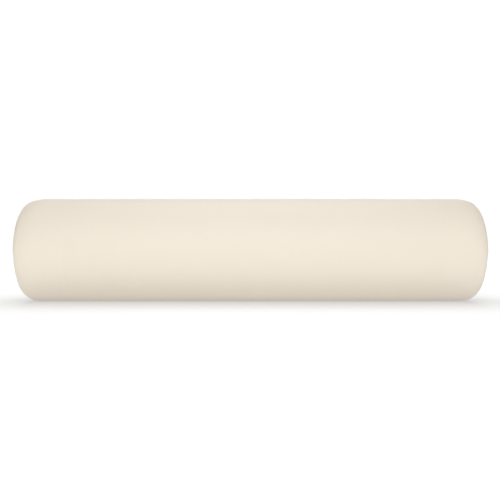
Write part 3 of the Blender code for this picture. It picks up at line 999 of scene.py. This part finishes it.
class BOLSTER_OT_liner(bpy.types.Operator):
    """Makes the knitted liner with its drawn mouths"""

    bl_idname = "bolster.liner"
    bl_label = "Liner"
    mouth = 0.025
    hem = 0.0011
    rim_spacing = 0.0028
    slider_gap = 0.0003

    def execute(self, context):
        self.look = context.scene.bolster_fill
        inset = RADIUS - (LINER_HIGH.z - AXIS_HEIGHT)
        hem = self.hem
        rim = end_line(self.mouth + hem, inset, self.rim_spacing)
        top = rim[0][0]
        roll = []
        for turn in [math.pi * (1 - i / 5) for i in range(5)]:
            roll.append((top - hem + hem * math.cos(turn), self.mouth + hem - hem * math.sin(turn)))
        right = roll + rim
        straight = between(rim[-1][0], -rim[-1][0], 90)
        shape = spun(whole_line(right, straight, RADIUS - inset), 120, AXIS)
        move_out(shape, self.gather)
        press_on_floor(shape, inset)
        press_behind_zip(shape, SLIDER_LOW.y - self.slider_gap)
        piece = add_piece("knit_slip_liner", shape, "liner_knit", "inner_liner")
        lay_pattern(piece.data)
        thicken(piece, self.look.liner_thickness)
        return {"FINISHED"}

    def gather(self, point):
        radius, angle = place_of(point)
        at_end = ease(abs(point.x), HALF_LENGTH - 0.02, HALF_LENGTH - 0.012)
        near = at_end * (1 - ease(radius, self.mouth + 0.004, 0.062))
        return -self.look.gather_depth * near * gathers(angle, self.look.gather_count, point.x)


class BOLSTER_OT_threads(bpy.types.Operator):
    """Makes the stitches of the end seams and round the zip"""

    bl_idname = "bolster.threads"
    bl_label = "Stitching"
    lean = math.radians(4)
    sink = 0.00002
    zip_stitch_share = 0.86
    seam_stitch_share = 0.9
    seam_thread_share = 0.7

    def execute(self, context):
        look = context.scene.bolster_zip
        self.sew_ends(look, context.scene.bolster_cover)
        self.sew_zip(look)
        return {"FINISHED"}

    def stitch(self, length, radius):
        """One stitch along X, lying on XY."""
        unit = bmesh.new()
        scale = Matrix.Diagonal((radius, radius, length / 2, 1))
        bmesh.ops.create_uvsphere(unit, u_segments=6, v_segments=6, radius=1, matrix=scale)
        turned = Matrix.Rotation(math.pi / 2, 3, "Y")
        bmesh.ops.rotate(unit, cent=(0, 0, 0), matrix=turned, verts=unit.verts)
        return unit

    def lie(self, along, radius, angle, heading):
        """Where a stitch lies on the cover. heading turns it from along X to round the bolster."""
        spot = Matrix.Translation(round_axis(along, radius, angle))
        out = Matrix.Rotation(angle - math.pi / 2, 4, "X")
        return spot @ out @ Matrix.Rotation(heading, 4, "Z")

    def sew_zip(self, look):
        end = STITCH_HIGH.x - STITCH_RADIUS
        turn = (SLOT_RISE + STITCH_MARGIN) / RADIUS
        reach = RADIUS - self.sink
        places = []
        count = round(2 * end / look.stitch_pitch)
        for side in (1, -1):
            for i in range(count):
                along = -end + 2 * end * (i + 0.5) / count
                places.append(self.lie(along, reach, side * turn, self.lean))
        count = round(2 * turn * RADIUS / look.stitch_pitch)
        for side in (1, -1):
            for i in range(count):
                angle = -turn + 2 * turn * (i + 0.5) / count
                places.append(self.lie(side * end, reach, angle, math.pi / 2 + self.lean))
        shape = repeated(self.stitch(look.stitch_pitch * self.zip_stitch_share, STITCH_RADIUS), places)
        add_piece("zip_lockstitches", shape, "cover_thread", "zip_topstitching")

    def sew_ends(self, look, cover):
        count = round(FULL_TURN * SEAM_RADIUS / look.seam_pitch)
        along = surface_along(SEAM_RADIUS) - cover.seam_roll
        length = look.seam_pitch * self.seam_stitch_share
        for name, side in ENDS:
            places = []
            for i in range(count):
                angle = FULL_TURN * i / count
                spot = Matrix.Translation(round_axis(side * along, SEAM_RADIUS, angle))
                turned = Matrix.Rotation(angle, 4, "X") @ Matrix.Rotation(math.pi / 2, 4, "Y")
                places.append(spot @ turned)
            shape = repeated(self.stitch(length, THREAD_RADIUS * self.seam_thread_share), places)
            add_piece(f"{name}_end_lockstitches", shape, "cover_thread", f"{name}_end_seam_thread")


class BOLSTER_OT_tapes(bpy.types.Operator):
    """Makes the woven tapes with the cords that hold the teeth"""

    bl_idname = "bolster.tapes"
    bl_label = "Zip tapes"
    thickness = 0.0005
    ripple = 0.00008
    ripple_length = 0.0041
    cord_overlap = 0.6

    def execute(self, context):
        look = context.scene.bolster_zip
        half = TAPE_HIGH.x
        inner = TAPE_LOW.z - AXIS_HEIGHT
        outer = TAPE_HIGH.z - AXIS_HEIGHT
        radius = CHAIN_MIDDLE + self.thickness / 2
        stations = [(along, radius) for along in (half, *between(half, -half, 180), -half)]
        first = math.asin(inner / CHAIN_MIDDLE)
        last = math.asin(min(outer, CHAIN_MIDDLE) / CHAIN_MIDDLE)
        for name, node, side in (("upper", "zip_upper_tape", 1), ("lower", "zip_lower_tape", -1)):
            shape = bmesh.new()
            sweep(shape, stations, side * first, side * (last - first), 9)
            weld(shape, AXIS)
            move_out(shape, lambda point: self.ripple * math.sin(point.x / self.ripple_length))
            bmesh.ops.solidify(shape, geom=shape.faces, thickness=self.thickness)
            rise = inner - look.cord_radius * self.cord_overlap
            self.add_cord(shape, side * rise, look.cord_radius)
            add_piece(f"{name}_woven_tape", shape, "zip_tape", node)
        return {"FINISHED"}

    def add_cord(self, shape, rise, radius):
        """A cord along the tape's edge, as a closed tube."""
        half = TEETH_HIGH.x
        end = Matrix.Translation((-half, CHAIN_MIDDLE, AXIS_HEIGHT + rise))
        start = end @ Matrix.Rotation(math.pi / 2, 4, "Y")
        made = bmesh.ops.create_circle(shape, cap_ends=True, segments=8, radius=radius, matrix=start)
        faces = list({face for vert in made["verts"] for face in vert.link_faces})
        moved = extrude(shape, faces, (2 * half, 0, 0))
        near = [face for vert in made["verts"] + moved for face in vert.link_faces]
        bmesh.ops.recalc_face_normals(shape, faces=list(set(near)))


class BOLSTER_OT_teeth(bpy.types.Operator):
    """Makes the two rows of moulded teeth"""

    bl_idname = "bolster.teeth"
    bl_label = "Zip teeth"
    end_margin = 0.00075
    row_start = 0.0003

    def execute(self, context):
        look = context.scene.bolster_zip
        for name, node, side, shift in (
            ("upper", "zip_upper_teeth", 1, 0.0),
            ("lower", "zip_lower_teeth", -1, look.tooth_pitch / 2),
        ):
            low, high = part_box(node)
            count = math.floor((high.x - low.x - 2 * self.end_margin) / look.tooth_pitch + 0.5)
            first = low.x + self.end_margin + self.row_start + shift
            turned = Matrix.Diagonal((1, 1, side, 1))
            places = []
            for i in range(count):
                middle = Vector((first + i * look.tooth_pitch, CHAIN_MIDDLE, AXIS_HEIGHT))
                places.append(Matrix.Translation(middle) @ turned)
            shape = repeated(self.tooth(look, high.y - low.y), places)
            bmesh.ops.recalc_face_normals(shape, faces=shape.faces)
            piece = add_piece(f"{name}_moulded_teeth", shape, "zip_teeth", node)
            piece.data.set_sharp_from_angle(angle=math.radians(50))
        return {"FINISHED"}

    def tooth(self, look, thickness):
        """One tooth: a block that grips the cord, a neck and a head past the chain's middle."""
        right = [(0.00095, 0.0029), (0.00095, 0.0014), (0.0005, 0.00105), (0.0005, 0.0004)]
        right += [(0.00066, 0.0), (0.0006, -0.0006), (0.00034, -0.0009)]
        outline = right + [(-along, across) for along, across in reversed(right)]
        unit = bmesh.new()
        verts = [unit.verts.new((along, -thickness / 2, across)) for along, across in outline]
        face = unit.faces.new(verts)
        extrude(unit, [face], (0, thickness, 0))
        bmesh.ops.recalc_face_normals(unit, faces=unit.faces)
        edges = []
        for edge in unit.edges:
            if abs(edge.verts[0].co.y - edge.verts[1].co.y) < thickness / 2:
                edges.append(edge)
        bmesh.ops.bevel(
            unit,
            geom=edges,
            offset=look.tooth_bevel,
            segments=1,
            profile=0.5,
            affect="EDGES",
            material=-1,
        )
        return unit


class BOLSTER_OT_metal(bpy.types.Operator):
    """Makes the cast slider, its pull tab and the clamped stops"""

    bl_idname = "bolster.metal"
    bl_label = "Zip metal"
    sharp_angle = 35

    def execute(self, context):
        look = context.scene.bolster_zip
        for name, node, body, width in (
            ("cast_slider", "zip_slider_body", "slider", look.metal_bevel),
            ("upper_clamped_stop", "zip_upper_top_stop", "bolster", look.metal_bevel),
            ("lower_clamped_stop", "zip_lower_top_stop", "bolster", look.metal_bevel),
            ("bottom_clamped_stop", "zip_bottom_stop", "bolster", look.metal_bevel),
            ("pull_tab_plate", "zip_pull_tab", "pull_tab", look.metal_bevel / 2),
        ):
            piece = add_piece(name, whole_faces(node), "zip_metal", node, body)
            soften(piece, width, 3, self.sharp_angle)
            piece.data.set_sharp_from_angle(angle=math.radians(self.sharp_angle))
        return {"FINISHED"}


class BOLSTER_OT_studio(bpy.types.Operator):
    """Makes the floor, the light and the camera"""

    bl_idname = "bolster.studio"
    bl_label = "Studio"

    def execute(self, context):
        look = context.scene.bolster_studio
        self.make_floor(context, look)
        self.make_room_light(context, look)
        for name, place, sides in SOFTBOXES:
            self.add_softbox(f"{name}_softbox", getattr(look, f"{name}_power"), place, sides)
        self.make_camera(context, look)
        context.scene.view_settings.view_transform = "Standard"
        return {"FINISHED"}

    def make_floor(self, context, look):
        shape = bmesh.new()
        bmesh.ops.create_grid(shape, x_segments=12, y_segments=12, size=look.floor_size / 2)
        mesh = bpy.data.meshes.new("studio_floor")
        shape.to_mesh(mesh)
        shape.free()
        finish = Finish("white_floor", {"Roughness": 0.9, "Specular IOR Level": 0.1})
        finish.shader.inputs["Emission Strength"].default_value = look.far_glow
        grain = finish.noise(0.4, 2.0)
        tone = finish.tones(grain, look.floor, 0.99, 1.01)
        away = finish.node("ShaderNodeVectorMath", {"operation": "LENGTH"}, {0: finish.places}, "Value")
        ramp = {"Value": away, "From Min": 0.3, "From Max": 1.3}
        far = finish.node("ShaderNodeMapRange", {"interpolation_type": "SMOOTHSTEP"}, ramp)
        # Painted contact shadow: ambient occlusion darkens the floor's glow near the bolster, and that
        # near glow is painted light that also lights the bolster's underside
        reach = {"Distance": look.shade_reach}
        painted_shadow_ao = finish.node("ShaderNodeAmbientOcclusion", {"samples": 16}, reach, "AO")
        near = painted_shadow_ao ** 1.5 * (look.open_glow / look.far_glow) + look.even_glow / look.far_glow
        glow = near * (1 - far) + far
        mesh.materials.append(finish.feed(base_color=tone, emission_color=glow))
        floor = bpy.data.objects.new("studio_floor", mesh)
        context.scene.collection.objects.link(floor)

    def make_room_light(self, context, look):
        """A room that looks white all round and lights the bolster only from behind."""
        world = bpy.data.worlds.new("studio_room")
        room = Nodes(world)
        direction = room.node("ShaderNodeTexCoord", output="Generated")
        edges = {"From Min": 0.35, "From Max": 0.8, "To Max": look.backdrop}
        behind = room.node("ShaderNodeMapRange", {}, {"Value": room.split(direction)[1], **edges})
        seen = room.node("ShaderNodeLightPath", output="Is Camera Ray")
        strength = room.node("ShaderNodeMix", {}, {"Factor": seen, "A": behind, "B": look.backdrop})
        background = room.tree.nodes["Background"]
        background.inputs["Color"].default_value = (1, 1, 1, 1)
        room.tree.links.new(strength.output, background.inputs["Strength"])
        context.scene.world = world

    def add_softbox(self, name, power, place, sides):
        light = bpy.data.lights.new(name, "AREA")
        light.shape = "RECTANGLE"
        light.size, light.size_y = sides
        light.energy = power
        lamp = bpy.data.objects.new(name, light)
        lamp.location = place
        lamp.rotation_mode = "QUATERNION"
        lamp.rotation_quaternion = (AXIS - Vector(place)).to_track_quat("-Z", "Y")
        lamp.visible_camera = False
        bpy.context.scene.collection.objects.link(lamp)

    def make_camera(self, context, look):
        data = bpy.data.cameras.new("front_camera")
        data.lens = look.lens
        data.shift_x, data.shift_y = -look.shift, look.shift
        camera = bpy.data.objects.new("front_camera", data)
        camera.location = (0.0, -look.distance, AXIS_HEIGHT)
        camera.rotation_euler = (math.pi / 2, 0, 0)
        context.scene.collection.objects.link(camera)
        context.scene.camera = camera


class BOLSTER_PT_sidebar(bpy.types.Panel):
    """Lists the pieces of the bolster in the order that they are made"""

    bl_label = "Massage bolster"
    bl_idname = "BOLSTER_PT_sidebar"
    bl_space_type = "VIEW_3D"
    bl_region_type = "UI"
    bl_category = "Bolster"

    def draw(self, context):
        for step in STEPS:
            self.layout.operator(step.bl_idname)
        for group in GROUPS:
            box = self.layout.box()
            looks = getattr(context.scene, group)
            for name in GROUPS[group].__annotations__:
                box.prop(looks, name)


GROUPS = {
    "bolster_cover": CoverLooks,
    "bolster_fill": FillLooks,
    "bolster_zip": ZipLooks,
    "bolster_studio": StudioLooks,
}
STEPS = (
    BOLSTER_OT_studio,
    BOLSTER_OT_body_skin,
    BOLSTER_OT_end_discs,
    BOLSTER_OT_foam_log,
    BOLSTER_OT_wadding,
    BOLSTER_OT_liner,
    BOLSTER_OT_threads,
    BOLSTER_OT_tapes,
    BOLSTER_OT_teeth,
    BOLSTER_OT_metal,
)


def register():
    for kind in (*GROUPS.values(), *STEPS, BOLSTER_PT_sidebar):
        bpy.utils.register_class(kind)
    for name, kind in GROUPS.items():
        setattr(bpy.types.Scene, name, PointerProperty(type=kind))


def unregister():
    for name in GROUPS:
        delattr(bpy.types.Scene, name)
    for kind in (BOLSTER_PT_sidebar, *reversed(STEPS), *reversed(GROUPS.values())):
        bpy.utils.unregister_class(kind)


def main():
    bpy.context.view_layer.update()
    register()
    for step in STEPS:
        group, name = step.bl_idname.split(".")
        getattr(getattr(bpy.ops, group), name)()


if __name__ == "__main__":
    main()
